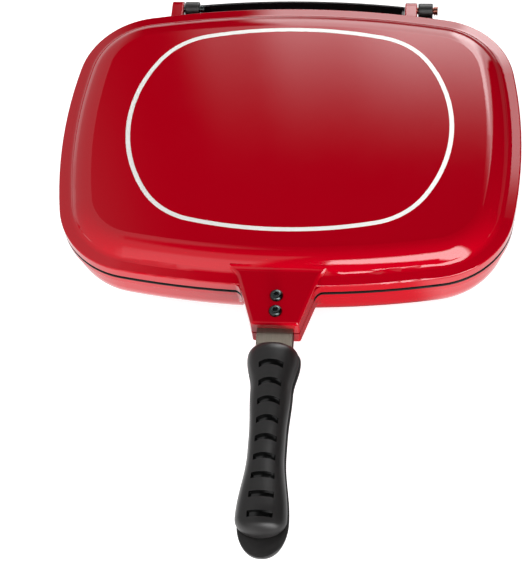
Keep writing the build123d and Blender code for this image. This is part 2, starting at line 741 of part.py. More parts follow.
def s_curve(start, end):
    """Two arcs that leave start and reach end along Y, as three-point arcs."""
    dx, dy = end[0] - start[0], start[1] - end[1]
    radius = (dx**2 + dy**2) / (4 * abs(dx))
    half_angle = math.asin(dy / (2 * radius)) / 2
    out = math.copysign(radius * (1 - math.cos(half_angle)), dx)
    along = radius * math.sin(half_angle)
    middle = ((start[0] + end[0]) / 2, (start[1] + end[1]) / 2)
    return [
        (start, (start[0] + out, start[1] - along), middle),
        (middle, (end[0] - out, end[1] + along), end),
    ]


def grip_plan(tip_y):
    """Outline of a grip from above: round nose, bulge, waist, flare and blunt tip."""
    tip_centre = (0.0, -tip_y + GRIP_TIP_R)
    corner_x = GRIP_FLARE_HALF - GRIP_TIP_CORNER_R
    drop = math.sqrt((GRIP_TIP_R - GRIP_TIP_CORNER_R) ** 2 - corner_x**2)
    corner = (corner_x, tip_centre[1] - drop)
    flare = (GRIP_FLARE_HALF, corner[1])
    bulge = (GRIP_BULGE_HALF, -GRIP_NOSE_Y - GRIP_BULGE_HALF)
    waist = (GRIP_WAIST_HALF, -GRIP_WAIST_Y)
    tip_start = away(tip_centre, corner, GRIP_TIP_R)
    middle = ((flare[0] + tip_start[0]) / 2, (flare[1] + tip_start[1]) / 2)
    right = s_curve(bulge, waist) + s_curve(waist, flare)
    right.append((flare, away(corner, middle, GRIP_TIP_CORNER_R), tip_start))

    def flip(point):
        return (-point[0], point[1])

    left = [(flip(start), flip(crown), flip(end)) for start, crown, end in right]
    tip = (flip(tip_start), (0.0, -tip_y), tip_start)
    nose = (bulge, (0.0, -GRIP_NOSE_Y), flip(bulge))
    back_up = [(end, crown, start) for start, crown, end in reversed(right)]
    return Wire([ThreePointArc(*arc).edge() for arc in left + [tip] + back_up + [nose]])


def grip_half_width(y, tip_y):
    """Half width of a grip, y in front of the origin."""
    flare_y = tip_y - GRIP_TIP_R + math.sqrt(
        (GRIP_TIP_R - GRIP_TIP_CORNER_R) ** 2 - (GRIP_FLARE_HALF - GRIP_TIP_CORNER_R) ** 2
    )
    bulge_y = GRIP_NOSE_Y + GRIP_BULGE_HALF
    wide, far_y = (GRIP_BULGE_HALF, bulge_y) if y < GRIP_WAIST_Y else (GRIP_FLARE_HALF, flare_y)
    share = min(abs(y - GRIP_WAIST_Y) / abs(far_y - GRIP_WAIST_Y), 1.0)
    return GRIP_WAIST_HALF + (wide - GRIP_WAIST_HALF) * (1 - math.cos(math.pi * share)) / 2


def grip_crown(tip_y, sink):
    """Everything under a grip's side view, its back lowered by sink."""
    face = PARTING_Z + GRIP_FACE
    side = [
        (-GRIP_NOSE_Y + 1.0, face, 0.0),
        (-GRIP_NOSE_Y - 1.0, PARTING_Z + GRIP_NOSE_RISE - sink, GRIP_NOSE_R),
        (-GRIP_WAIST_Y, PARTING_Z + GRIP_WAIST_RISE - sink, GRIP_WAIST_R),
        (-tip_y + GRIP_FLARE_RUN, PARTING_Z + GRIP_FLARE_RISE - sink, GRIP_FLARE_R),
        (-tip_y - 2.0, PARTING_Z + GRIP_TIP_RISE - sink, 0.0),
        (-tip_y - 2.0, face, 0.0),
    ]
    return side_prism(side, -GRIP_FLARE_HALF - 5.0, GRIP_FLARE_HALF + 5.0)


def grip_slots(tip_y):
    """The cross slots, wider where the grip is wider, with floors that follow its back."""
    slots = []
    stretch = (tip_y - SLOT_FIRST_Y) / (UPPER_GRIP_TIP_Y - SLOT_FIRST_Y)
    for i in range(SLOT_COUNT):
        y = SLOT_FIRST_Y + i * SLOT_PITCH * stretch
        half = SLOT_WAIST_HALF + SLOT_SPREAD * (grip_half_width(y, tip_y) - GRIP_WAIST_HALF)
        plan = mirror_plan([
            (half, -y - SLOT_WIDTH / 2, SLOT_CORNER_R),
            (half, -y + SLOT_WIDTH / 2, SLOT_CORNER_R),
        ])
        slots.append(prism(plan, PARTING_Z + GRIP_FACE, PARTING_Z + GRIP_NOSE_RISE + 5.0))
    return [slot - grip_crown(tip_y, SLOT_DEPTH) for slot in slots]


def grip_edge_r():
    """Rounding of a grip's back, as large as its narrowest and lowest places leave room for."""
    lean = math.tan(math.radians(GRIP_TAPER))
    narrowest = GRIP_WAIST_HALF - (GRIP_WAIST_RISE - GRIP_FACE) * lean
    return min(GRIP_EDGE_R, 0.95 * narrowest, GRIP_TIP_RISE)


def grip(tip_y):
    """Moulded grip: flat against its partner, rounded back, cross slots, tang pocket."""
    face = PARTING_Z + GRIP_FACE
    plan = Plane.XY.offset(face) * Face(grip_plan(tip_y))
    blank = Solid.extrude_taper(plan, (0, 0, GRIP_NOSE_RISE + 5.0), GRIP_TAPER)
    body = blank & grip_crown(tip_y, 0.0)
    back = [e for e in body.edges() if e.bounding_box().min.Z > face + 0.5]
    body = fillet(back, grip_edge_r())
    rim = [e for e in body.edges() if e.bounding_box().max.Z < face + 0.01]
    body = fillet(rim, GRIP_FACE_EDGE_R)
    body -= grip_slots(tip_y)
    low = PARTING_Z + TANG_DROP
    body -= prism(tang_plan(TANG_PLAY), low - TANG_PLAY, low + TANG_T + TANG_PLAY)
    body -= rod(MAGNET_R + TANG_PLAY, 0, -MAGNET_Y, face - 1.0, face + MAGNET_T)
    return body - screw_space(SCREW_PLAY)


def screw_space(play):
    """Countersunk head and shank of a grip screw, grown by play."""
    face = PARTING_Z + GRIP_FACE
    cone_z = face + GRIP_SCREW_HEAD + play
    head = Pos(0, -GRIP_SCREW_Y, face + (GRIP_SCREW_HEAD + play) / 2) * Cone(
        GRIP_SCREW_HEAD_R + play, GRIP_SCREW_R + play, GRIP_SCREW_HEAD + play
    )
    return head + rod(GRIP_SCREW_R + play, 0, -GRIP_SCREW_Y, cone_z, face + GRIP_SCREW_LENGTH + play)


def grip_screw():
    face = PARTING_Z + GRIP_FACE
    slot = Pos(0, -GRIP_SCREW_Y, face) * Box(
        2 * GRIP_SCREW_HEAD_R, GRIP_SCREW_SLOT_WIDTH, 2 * GRIP_SCREW_SLOT
    )
    return screw_space(0.0) - slot


def grip_magnet():
    face = PARTING_Z + GRIP_FACE
    disc = rod(MAGNET_R, 0, -MAGNET_Y, face, face + MAGNET_T)
    return chamfer(disc.edges(), MAGNET_CHAMFER)


def all_parts():
    parts = {
        "lower_pan": lower_pan(),
        "upper_pan": upper_pan(),
        "silicone_gasket": silicone_gasket(),
        "drip_tray": drip_tray(),
        "hinge_pin_left": hinge_pin(-1),
        "hinge_pin_right": hinge_pin(1),
    }
    screws = {
        "tang_screw_rear": tang_screw(SCREW_Y[0]),
        "tang_screw_front": tang_screw(SCREW_Y[1]),
    }
    pieces = {"tang": tang(), "grip_screw": grip_screw(), "grip_magnet": grip_magnet(), **screws}
    for name, shape in pieces.items():
        parts["upper_" + name] = shape
        parts["lower_" + name] = mirrored(shape)
    parts["upper_grip"] = grip(UPPER_GRIP_TIP_Y)
    parts["lower_grip"] = mirrored(grip(LOWER_GRIP_TIP_Y))
    return parts


if __name__ == "__main__":
    os.makedirs("parts", exist_ok=True)
    for node, shape in all_parts().items():
        export_step(shape, os.path.join("parts", node + ".step"))
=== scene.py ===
"""A closed double sided flip pan, dressed for its studio picture."""

import math

import bmesh
import bpy
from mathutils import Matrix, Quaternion, Vector

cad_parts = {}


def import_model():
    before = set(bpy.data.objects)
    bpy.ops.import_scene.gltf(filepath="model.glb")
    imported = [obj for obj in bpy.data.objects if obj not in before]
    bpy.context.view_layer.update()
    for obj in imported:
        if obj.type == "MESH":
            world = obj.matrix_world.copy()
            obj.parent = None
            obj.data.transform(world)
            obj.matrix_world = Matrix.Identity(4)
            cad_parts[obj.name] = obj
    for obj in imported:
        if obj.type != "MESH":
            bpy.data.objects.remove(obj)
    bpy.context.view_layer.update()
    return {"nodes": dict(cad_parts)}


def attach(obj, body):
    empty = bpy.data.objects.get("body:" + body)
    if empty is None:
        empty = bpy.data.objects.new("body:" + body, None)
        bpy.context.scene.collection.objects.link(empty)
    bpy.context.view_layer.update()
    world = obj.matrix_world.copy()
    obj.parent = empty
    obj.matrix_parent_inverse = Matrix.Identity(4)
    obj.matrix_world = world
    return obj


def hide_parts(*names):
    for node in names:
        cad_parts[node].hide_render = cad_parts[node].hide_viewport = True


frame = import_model()

# The lengths named below are in millimetres and the angles in degrees.
MM = 0.001
PARTING_Z = 45.0


# ---------------------------------------------------------------- helpers


def mm(*lengths):
    """Lengths in metres, given in millimetres."""
    return tuple(length * MM for length in lengths)


def rgb(r, g, b):
    return (r, g, b, 1.0)


def placed(name, data):
    """A new object in the scene."""
    made = bpy.data.objects.new(name, data)
    bpy.context.scene.collection.objects.link(made)
    return made


def closed_mesh(work, name):
    """The mesh of a finished bmesh, its faces turned outwards."""
    bmesh.ops.recalc_face_normals(work, faces=work.faces)
    mesh = bpy.data.meshes.new(name)
    work.to_mesh(mesh)
    work.free()
    return mesh


class Graph:
    """Short ways to add shader nodes to one node tree."""

    def __init__(self, tree):
        self.tree = tree
        tree.nodes.clear()

    def node(self, kind, **values):
        made = self.tree.nodes.new(kind)
        for key, value in values.items():
            setattr(made, key, value)
        return made

    def put(self, socket, value):
        """Link another socket to this one, or write a constant on it."""
        if isinstance(value, bpy.types.NodeSocket):
            self.tree.links.new(value, socket)
        else:
            socket.default_value = value

    def math(self, operation, a, b=0.0):
        made = self.node("ShaderNodeMath", operation=operation)
        for socket, value in zip(made.inputs, (a, b)):
            self.put(socket, value)
        return made.outputs[0]

    def product(self, first, *others):
        for other in others:
            first = self.math("MULTIPLY", first, other)
        return first

    def smooth(self, value, low, high, out_low=0.0, out_high=1.0):
        made = self.node("ShaderNodeMapRange", interpolation_type="SMOOTHSTEP")
        for i, given in enumerate((value, low, high, out_low, out_high)):
            self.put(made.inputs[i], given)
        return made.outputs[0]

    def fall(self, value, full, end):
        """1 up to full, falling softly to 0 at end."""
        return self.smooth(value, full, end, 1.0, 0.0)

    def span(self, value, start, full, last, end):
        """1 between the two inner edges, falling softly to 0 at the outer ones."""
        return self.product(self.smooth(value, start, full), self.fall(value, last, end))

    def near(self, value, centre, half):
        """1 where a place in metres lies within half of centre, both in millimetres."""
        apart = self.math("ABSOLUTE", self.math("SUBTRACT", value, centre * MM))
        return self.math("LESS_THAN", apart, half * MM)

    def split(self, vector):
        made = self.node("ShaderNodeSeparateXYZ")
        self.put(made.inputs[0], vector)
        return made.outputs

    def scaled(self, vector, scale):
        made = self.node("ShaderNodeMapping")
        self.put(made.inputs["Vector"], vector)
        made.inputs["Scale"].default_value = scale
        return made.outputs[0]

    def noise(self, vector, scale, detail, roughness=0.5):
        """Noise with a scale per metre."""
        made = self.node("ShaderNodeTexNoise")
        self.put(made.inputs["Vector"], vector)
        made.inputs["Scale"].default_value = scale
        made.inputs["Detail"].default_value = detail
        made.inputs["Roughness"].default_value = roughness
        return made.outputs[0]

    def mix(self, share, a, b):
        made = self.node("ShaderNodeMix", data_type="RGBA")
        self.put(made.inputs["Factor"], share)
        self.put(made.inputs["A"], a)
        self.put(made.inputs["B"], b)
        return made.outputs["Result"]

    def bump(self, height, depth, strength):
        """A bumped normal, its depth in millimetres."""
        made = self.node("ShaderNodeBump")
        made.inputs["Strength"].default_value = strength
        made.inputs["Distance"].default_value = depth * MM
        self.put(made.inputs["Height"], height)
        return made.outputs[0]


def new_material(name):
    """A material, its graph, its Principled shader, and the place on the object in metres."""
    material = bpy.data.materials.new(name)
    material.use_nodes = True
    graph = Graph(material.node_tree)
    out = graph.node("ShaderNodeOutputMaterial")
    shader = graph.node("ShaderNodeBsdfPrincipled")
    graph.tree.links.new(shader.outputs[0], out.inputs[0])
    place = graph.node("ShaderNodeTexCoord").outputs["Object"]
    return material, graph, shader, place


# ---------------------------------------------------------------- materials

# Where the black coating shows on the castings. The NORMAL values limit a normal's Z.
COAT_ABOVE_Z, COAT_BELOW_Z, COAT_HALF_Y = 4.0, 64.0, 115.5
COAT_NORMAL_UP, COAT_NORMAL_DOWN = 0.7, -0.2
# A plain black band along the seam: painted shade of the gap between the halves, partly coating
# wrapped onto the rim edges.
SEAM_SHADE_HALF, SEAM_SHADE_FRONT_Y, SEAM_SHADE_BACK_Y = 1.7, -122.0, 116.9
KNUCKLE_X, KNUCKLE_HALF, KNUCKLE_FRONT_Y = (-80.05, 91.35), 5.35, 115.0

ENAMEL_TONES = rgb(0.39, 0.0, 0.007), rgb(0.41, 0.0, 0.008)
ENAMEL_ROUGHNESS = 0.045, 0.06
ENAMEL_IOR = 1.5
PEEL_DEPTH, PEEL_STRENGTH = 0.006, 0.4
# The coating's tones, also used for the painted seam shade.
COAT_AND_SEAM_SHADE_TONES = rgb(0.006, 0.006, 0.006), rgb(0.07, 0.07, 0.075)
COAT_ADDED_ROUGHNESS = 0.42
ENAMEL_SPECULAR, SEAM_SHADE_SPECULAR = 0.5, 0.15


def coated(g, place, is_lower):
    """Where the black coating shows, and the part of it along the seam: a band that is partly
    coating on the rim edges and partly painted shade of the gap.
    """
    x, y, z = g.split(place)
    nx, ny, nz = g.split(g.node("ShaderNodeTexCoord").outputs["Normal"])
    if is_lower:
        outward = g.math("ADD", g.product(nx, x), g.product(ny, y))
        walls = g.math("LESS_THAN", outward, 0.0)
        inside = g.math("MAXIMUM", walls, g.math("GREATER_THAN", nz, COAT_NORMAL_UP))
        clear = g.math("GREATER_THAN", z, COAT_ABOVE_Z * MM)
    else:
        inside = g.math("LESS_THAN", nz, COAT_NORMAL_DOWN)
        clear = g.math("LESS_THAN", z, COAT_BELOW_Z * MM)
    dark = g.product(inside, clear, g.near(y, 0.0, COAT_HALF_Y))
    # Painted shade: a black band along the seam, partly coating on the rim edges.
    seam_shade = g.product(
        g.near(z, PARTING_Z, SEAM_SHADE_HALF),
        g.math("LESS_THAN", y, SEAM_SHADE_BACK_Y * MM),
        g.math("GREATER_THAN", y, SEAM_SHADE_FRONT_Y * MM),
    )
    dark = g.math("MAXIMUM", dark, seam_shade)
    if is_lower:
        behind = g.math("GREATER_THAN", y, KNUCKLE_FRONT_Y * MM)
        for centre in KNUCKLE_X:
            knuckle = g.product(g.near(x, centre, KNUCKLE_HALF), behind)
            dark = g.math("MAXIMUM", dark, knuckle)
    return dark, seam_shade


def enamel(name):
    """Gloss red enamel outside.

    A speckled non-stick coating covers the inside and the knuckles, and a plain black
    band follows the seam between the halves. That band is partly coating on the rim edges
    and partly painted shade of the gap, and its specular is lowered too.
    """
    material, g, shader, place = new_material(name)
    dark, seam_shade = coated(g, place, name.startswith("lower"))
    fleck = g.smooth(g.noise(place, 2600.0, 1.0), 0.66, 0.76)
    fleck = g.product(fleck, g.math("SUBTRACT", 1.0, seam_shade))
    coating_and_seam_shade = g.mix(fleck, *COAT_AND_SEAM_SHADE_TONES)
    paint = g.mix(g.noise(place, 9.0, 2.0), *ENAMEL_TONES)
    g.put(shader.inputs["Base Color"], g.mix(dark, paint, coating_and_seam_shade))
    rough = g.smooth(g.noise(place, 60.0, 3.0), 0.3, 0.7, *ENAMEL_ROUGHNESS)
    rough = g.math("ADD", rough, g.product(dark, COAT_ADDED_ROUGHNESS))
    g.put(shader.inputs["Roughness"], rough)
    peel = g.noise(place, 260.0, 2.0)
    g.put(shader.inputs["Normal"], g.bump(peel, PEEL_DEPTH, PEEL_STRENGTH))
    shader.inputs["IOR"].default_value = ENAMEL_IOR
    # Less specular along the painted seam shade.
    specular = g.smooth(seam_shade, 0.0, 1.0, ENAMEL_SPECULAR, SEAM_SHADE_SPECULAR)
    g.put(shader.inputs["Specular IOR Level"], specular)
    return material


def plastic(name, dark, light, roughness, grain, depth, specular=0.5):
    """Moulded black plastic or silicone with a fine grain."""
    material, g, shader, place = new_material(name)
    fine = g.noise(place, grain, 3.0, 0.6)
    g.put(shader.inputs["Base Color"], g.mix(g.noise(place, 35.0, 2.0), dark, light))
    rough = g.smooth(fine, 0.25, 0.75, roughness - 0.05, roughness + 0.06)
    g.put(shader.inputs["Roughness"], rough)
    g.put(shader.inputs["Normal"], g.bump(fine, depth, 0.5))
    shader.inputs["Specular IOR Level"].default_value = specular
    return material


def metal(name, dark, light, roughness, stretch, depth, metallic=1.0):
    """Metal with a brushed or turned grain, stretched along one axis."""
    material, g, shader, place = new_material(name)
    streaks = g.noise(g.scaled(place, stretch), 900.0, 4.0, 0.65)
    g.put(shader.inputs["Base Color"], g.mix(streaks, dark, light))
    rough = g.smooth(streaks, 0.2, 0.8, roughness - 0.06, roughness + 0.08)
    g.put(shader.inputs["Roughness"], rough)
    g.put(shader.inputs["Normal"], g.bump(streaks, depth, 0.4))
    shader.inputs["Metallic"].default_value = metallic
    return material


LOWER_RED = enamel("lower_enamel")
UPPER_RED = enamel("upper_enamel")
GRIP = plastic(
    "grip_soft_touch",
    dark=rgb(0.010, 0.0095, 0.0095),
    light=rgb(0.013, 0.012, 0.012),
    roughness=0.38,
    grain=2600.0,
    depth=0.02,
    specular=0.36,
)
# Slot floors and walls: darker than the grip, which is painted shade in the recesses, and
# glossier.
GROOVE_PAINTED_SHADE = plastic(
    "grip_groove_painted_shade",
    dark=rgb(0.0035, 0.0035, 0.0035),
    light=rgb(0.005, 0.005, 0.005),
    roughness=0.16,
    grain=2600.0,
    depth=0.003,
)
TRAY = plastic(
    "tray_plastic",
    dark=rgb(0.008, 0.008, 0.009),
    light=rgb(0.013, 0.013, 0.014),
    roughness=0.3,
    grain=1500.0,
    depth=0.01,
)
SEAL = plastic(
    "seal_silicone",
    dark=rgb(0.02, 0.02, 0.021),
    light=rgb(0.03, 0.03, 0.031),
    roughness=0.6,
    grain=1200.0,
    depth=0.01,
)

EVEN = (1.0, 1.0, 1.0)
ALONG_Y = (1.0, 0.06, 1.0)
ALONG_X = (0.1, 1.0, 1.0)

TANG = metal(
    "tang_brushed",
    dark=rgb(0.175, 0.152, 0.122),
    light=rgb(0.28, 0.247, 0.205),
    roughness=0.38,
    stretch=ALONG_Y,
    depth=0.01,
)
PIN = metal(
    "pin_steel",
    dark=rgb(0.11, 0.03, 0.022),
    light=rgb(0.19, 0.075, 0.055),
    roughness=0.28,
    stretch=ALONG_X,
    depth=0.01,
)
SCREW = metal(
    "screw_black_oxide",
    dark=rgb(0.035, 0.045, 0.045),
    light=rgb(0.07, 0.08, 0.08),
    roughness=0.28,
    stretch=EVEN,
    depth=0.01,
)
NICKEL = metal(
    "magnet_nickel",
    dark=rgb(0.6, 0.59, 0.56),
    light=rgb(0.7, 0.69, 0.66),
    roughness=0.22,
    stretch=EVEN,
    depth=0.005,
)
RING = metal(
    "ring_bright_cut",
    dark=rgb(0.66, 0.65, 0.62),
    light=rgb(0.74, 0.735, 0.72),
    roughness=0.42,
    stretch=EVEN,
    depth=0.005,
    metallic=0.5,
)

FINISH = {
    "lower_pan": LOWER_RED,
    "upper_pan": UPPER_RED,
    "silicone_gasket": SEAL,
    "drip_tray": TRAY,
    "hinge_pin_left": SCREW,
    "hinge_pin_right": PIN,
}
for half in ("upper", "lower"):
    FINISH[half + "_tang"] = TANG
    FINISH[half + "_grip"] = GRIP
    FINISH[half + "_grip_screw"] = PIN
    FINISH[half + "_grip_magnet"] = NICKEL
    FINISH[half + "_tang_screw_rear"] = SCREW
    FINISH[half + "_tang_screw_front"] = SCREW
for node, finish in FINISH.items():
    mesh = frame["nodes"][node].data
    mesh.materials.clear()
    mesh.materials.append(finish)


# ---------------------------------------------------------------- ring on the lid

RING_HALF_X, RING_HALF_Y, RING_CENTRE_Y = 112.1, 84.0, 5.0
RING_SIDE_R, RING_FRONT_R, RING_CORNER_R = 99.3, 301.0, 52.5
ARC_STEPS = 40
# Each point of the band's section: how far inside the ring's middle line, and its height.
RING_SECTION = (
    (-1.62, 64.7),
    (-1.62, 64.86),
    (-1.5, 64.94),
    (1.5, 64.94),
    (1.62, 64.86),
    (1.62, 64.7),
)


def circles_meet(first, first_r, second, second_r):
    """Where two circles cross, on the side furthest towards +X and +Y."""
    apart = second - first
    along = (first_r**2 - second_r**2 + apart.length**2) / (2 * apart.length)
    across = math.sqrt(first_r**2 - along**2)
    step = apart.normalized()
    side = Vector((-step.y, step.x))
    found = [first + step * along + side * s * across for s in (1, -1)]
    return max(found, key=sum)


def ring_outline(inset):
    """Points of a closed outline of four bowed sides and four corner arcs."""
    half_x, half_y = RING_HALF_X - inset, RING_HALF_Y - inset
    side_r, front_r = RING_SIDE_R - inset, RING_FRONT_R - inset
    corner_r = RING_CORNER_R - inset
    side_centre, front_centre = Vector((half_x - side_r, 0)), Vector((0, half_y - front_r))
    centre = circles_meet(side_centre, side_r - corner_r, front_centre, front_r - corner_r)
    to_side = math.atan2(centre.y - side_centre.y, centre.x - side_centre.x)
    to_front = math.atan2(centre.y - front_centre.y, centre.x - front_centre.x)
    quarter = []
    for middle, radius, start, end in (
        (side_centre, side_r, 0.0, to_side),
        (centre, corner_r, to_side, to_front),
        (front_centre, front_r, to_front, math.pi / 2),
    ):
        for i in range(ARC_STEPS):
            angle = start + (end - start) * i / ARC_STEPS
            x, y = middle.x + radius * math.cos(angle), middle.y + radius * math.sin(angle)
            quarter.append((x, y))
    quarter.append((0.0, half_y))
    rear = quarter + [(-x, y) for x, y in reversed(quarter[:-1])]
    return rear + [(x, -y) for x, y in reversed(rear[1:-1])]


def ring_band():
    """The bright band that fills the shallow groove in the lid."""
    work = bmesh.new()
    rows = []
    for inset, z in RING_SECTION:
        points = [(x, y + RING_CENTRE_Y, z) for x, y in ring_outline(inset)]
        rows.append([work.verts.new(Vector(point) * MM) for point in points])
    count = len(rows[0])
    for a, b in zip(rows, rows[1:] + rows[:1]):
        for i in range(count):
            j = (i + 1) % count
            work.faces.new((a[i], a[j], b[j], b[i]))
    mesh = closed_mesh(work, "ring_band")
    mesh.materials.append(RING)
    band = placed("ring_band", mesh)
    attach(band, "upper_half")


ring_band()


# ---------------------------------------------------------------- crowned grips

# Distances run from a grip's nose, at the pan's end, to its tip. Rises are taken from
# the parting plane.
GRIP_NOSE_Y = -157.1
GRIP_LENGTH = {"upper": 134.0, "lower": 145.9}
GRIP_SHIFT = {"upper": 0.0, "lower": 1.0}
GRIP_FACE, FACE_EDGE_R = 0.65, 1.0
GRIP_BASE = GRIP_FACE + FACE_EDGE_R

BULGE_HALF, NECK_HALF, WAIST_HALF, FLARE_HALF = 16.9, 13.3, 11.9, 16.4
NOSE_RUN, NECK_AT, WAIST_AT, WAIST_END = 11.5, 34.0, 66.0, 78.0
TIP_RUN = {"upper": 12.0, "lower": 23.5}
NOSE_POWER, TIP_POWER = 2.3, 2.1

NOSE_RISE, WAIST_RISE, FLARE_RISE, TIP_RISE = 15.0, 12.2, 13.4, 11.4
NOSE_ROUND, TIP_ROUND, TIP_DROP = 8.0, 7.0, 20.0
END_POWER, ARCH_POWER = 1.8, 2.15

SLOT_COUNT, SLOT_FIRST, SLOT_PITCH = 9, 20.3, 12.76
SLOT_WIDTH, SLOT_DEPTH, SLOT_WALL = 4.0, 2.6, 0.3
SLOT_WAIST_HALF, SLOT_SPREAD = 7.0, 0.25
BOW_START, BOW_END, BOW_FROM, BOW_RUN, BOW_NOSE = 1.8, 0.4, 50.0, 60.0, 15.0
TANG_COVER = 7.0

# Rows of vertices along a grip, and how far the end rows stay from the nose and the tip.
NOSE_ROWS, BETWEEN_ROWS, FLOOR_ROWS, TIP_ROWS, END_GAP = 16, 5, 3, 24, 0.02
# Columns across half a grip, and a slot's side wall as a share of the half width.
SLOT_COLUMNS, FLANK_COLUMNS, EDGE_COLUMNS, SIDE_WALL = 6, 12, 3, 0.03
SHARP_ANGLE = 38


def ease(start, end, share):
    """A soft curve from start to end."""
    return start + (end - start) * (1 - math.cos(math.pi * min(max(share, 0.0), 1.0))) / 2


def rounded(share, power):
    """A superellipse quadrant: 0 where share is 0, 1 where it is 1 or more."""
    return max(1 - max(1 - share, 0.0) ** power, 0.0) ** (1 / power)


def grip_half_width(at, half):
    """Half width of a grip, at a distance from its nose."""
    length = GRIP_LENGTH[half]
    flare_at = length - TIP_RUN[half]
    if at < NECK_AT:
        width = ease(BULGE_HALF, NECK_HALF, (at - NOSE_RUN) / (NECK_AT - NOSE_RUN))
    elif at < WAIST_END:
        width = ease(NECK_HALF, WAIST_HALF, (at - NECK_AT) / (WAIST_AT - NECK_AT))
    else:
        width = ease(WAIST_HALF, FLARE_HALF, (at - WAIST_END) / (flare_at - WAIST_END))
    nose = rounded(at / NOSE_RUN, NOSE_POWER)
    return width * nose * rounded((length - at) / TIP_RUN[half], TIP_POWER)


def grip_rise(at, half):
    """Height of a grip's crest above the parting plane, at a distance from its nose."""
    length = GRIP_LENGTH[half]
    flare_at = length - TIP_DROP
    if at < WAIST_AT:
        crest = ease(NOSE_RISE, WAIST_RISE, (at - NOSE_ROUND) / (WAIST_AT - NOSE_ROUND))
    elif at < flare_at:
        crest = ease(WAIST_RISE, FLARE_RISE, (at - WAIST_AT) / (flare_at - WAIST_AT))
    else:
        crest = ease(FLARE_RISE, TIP_RISE, (at - flare_at) / (length - flare_at))
    nose, tip = rounded(at / NOSE_ROUND, 2), rounded((length - at) / TIP_ROUND, END_POWER)
    return GRIP_BASE + (crest - GRIP_BASE) * nose * tip


def grip_stations(length):
    """Distances from the nose, each with whether it lies on a slot's floor."""
    quarter_turn = math.pi / 2
    start = SLOT_FIRST - SLOT_WIDTH / 2
    stations = [
        (start * (1 - math.cos(quarter_turn * i / NOSE_ROWS)) + END_GAP, False)
        for i in range(NOSE_ROWS)
    ]
    stretch = (length - SLOT_FIRST) / (GRIP_LENGTH["upper"] - SLOT_FIRST)
    for i in range(SLOT_COUNT):
        centre = SLOT_FIRST + i * SLOT_PITCH * stretch
        before, after = centre - SLOT_WIDTH / 2, centre + SLOT_WIDTH / 2
        if i:
            gap = before - start
            stations += [(start + gap * j / BETWEEN_ROWS, False) for j in range(1, BETWEEN_ROWS)]
        stations.append((before, False))
        floor = SLOT_WIDTH - 2 * SLOT_WALL
        stations += [
            (before + SLOT_WALL + floor * j / FLOOR_ROWS, True) for j in range(FLOOR_ROWS + 1)
        ]
        stations.append((after, False))
        start = after
    run = length - END_GAP - start
    return stations + [
        (start + run * math.sin(quarter_turn * i / TIP_ROWS), False)
        for i in range(1, TIP_ROWS + 1)
    ]


def grip_shares(slot_share):
    """Places across a grip, as shares of its half width, each with whether it is in a slot."""
    inner = slot_share - SIDE_WALL
    right = [(inner * i / SLOT_COLUMNS, True) for i in range(1, SLOT_COLUMNS + 1)]
    right.append((slot_share, False))
    start = math.asin(slot_share)
    turn = math.pi / 2 - start
    right += [
        (math.sin(start + turn * i / FLANK_COLUMNS), False)
        for i in range(1, FLANK_COLUMNS + 1)
    ]
    return [(-share, low) for share, low in reversed(right)] + [(0.0, True)] + right


def grip_ring(at, on_floor, half):
    """One cross section of a grip: (x, y, rise, whether it is sunk into a slot)."""
    wide = max(grip_half_width(at, half), WAIST_HALF)
    slot_share = (SLOT_WAIST_HALF + SLOT_SPREAD * (wide - WAIST_HALF)) / wide
    bow = ease(BOW_START, BOW_END, (at - BOW_FROM) / BOW_RUN) * rounded(at / BOW_NOSE, 2)
    arch = []
    for share, in_slot in grip_shares(slot_share):
        bowed = at - bow * max(1 - (share / slot_share) ** 2, 0.0)
        width, crest = grip_half_width(bowed, half), grip_rise(bowed, half)
        arched = (1 - abs(share) ** ARCH_POWER) ** (1 / ARCH_POWER)
        rise = GRIP_BASE + (crest - GRIP_BASE) * arched
        sunk = on_floor and in_slot
        if sunk:
            rise = max(rise - SLOT_DEPTH, TANG_COVER)
        arch.append((share * width, GRIP_NOSE_Y - bowed, rise, sunk))
    width, y = grip_half_width(at, half), GRIP_NOSE_Y - at
    edge_r = min(FACE_EDGE_R, width / 2)
    for i in range(1, EDGE_COLUMNS + 1):
        angle = math.pi / 2 * i / EDGE_COLUMNS
        x = width - edge_r * (1 - math.cos(angle))
        rise = GRIP_FACE + FACE_EDGE_R * (1 - math.sin(angle))
        arch = [(-x, y, rise, False)] + arch + [(x, y, rise, False)]
    return arch


def crowned_grip(half, side):
    """A moulded grip with an arched back and bowed cross slots whose floors follow the arch."""
    work = bmesh.new()
    rings, sunken = [], set()
    for at, on_floor in grip_stations(GRIP_LENGTH[half]):
        ring = []
        for x, y, rise, sunk in grip_ring(at, on_floor, half):
            point = Vector((x + GRIP_SHIFT[half], y, PARTING_Z + side * rise)) * MM
            ring.append(work.verts.new(point))
            if sunk:
                sunken.add(ring[-1])
        rings.append(ring)
    for a, b in zip(rings, rings[1:]):
        for i in range(len(a)):
            j = (i + 1) % len(a)
            corners = (a[i], a[j], b[j], b[i])
            # Faces in a slot take the darker groove material: painted shade of the recess.
            in_shaded_groove = any(corner in sunken for corner in corners)
            work.faces.new(corners).material_index = int(in_shaded_groove)
    work.faces.new(rings[0])
    work.faces.new(rings[-1])
    mesh = closed_mesh(work, half + "_grip_crowned")
    for face in mesh.polygons:
        face.use_smooth = True
    mesh.set_sharp_from_angle(angle=math.radians(SHARP_ANGLE))
    mesh.materials.append(GRIP)
    mesh.materials.append(GROOVE_PAINTED_SHADE)
    piece = placed(half + "_grip_crowned", mesh)
    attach(piece, half + "_half")
    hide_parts(half + "_grip")


crowned_grip("upper", 1)
crowned_grip("lower", -1)


# ---------------------------------------------------------------- floor

FLOOR_SIZE = 30.0
FLOOR_WHITE = 0.7
FLOOR_PALE, FLOOR_IN_GLOSS = rgb(0.85, 0.85, 0.85), rgb(0.15, 0.15, 0.15)

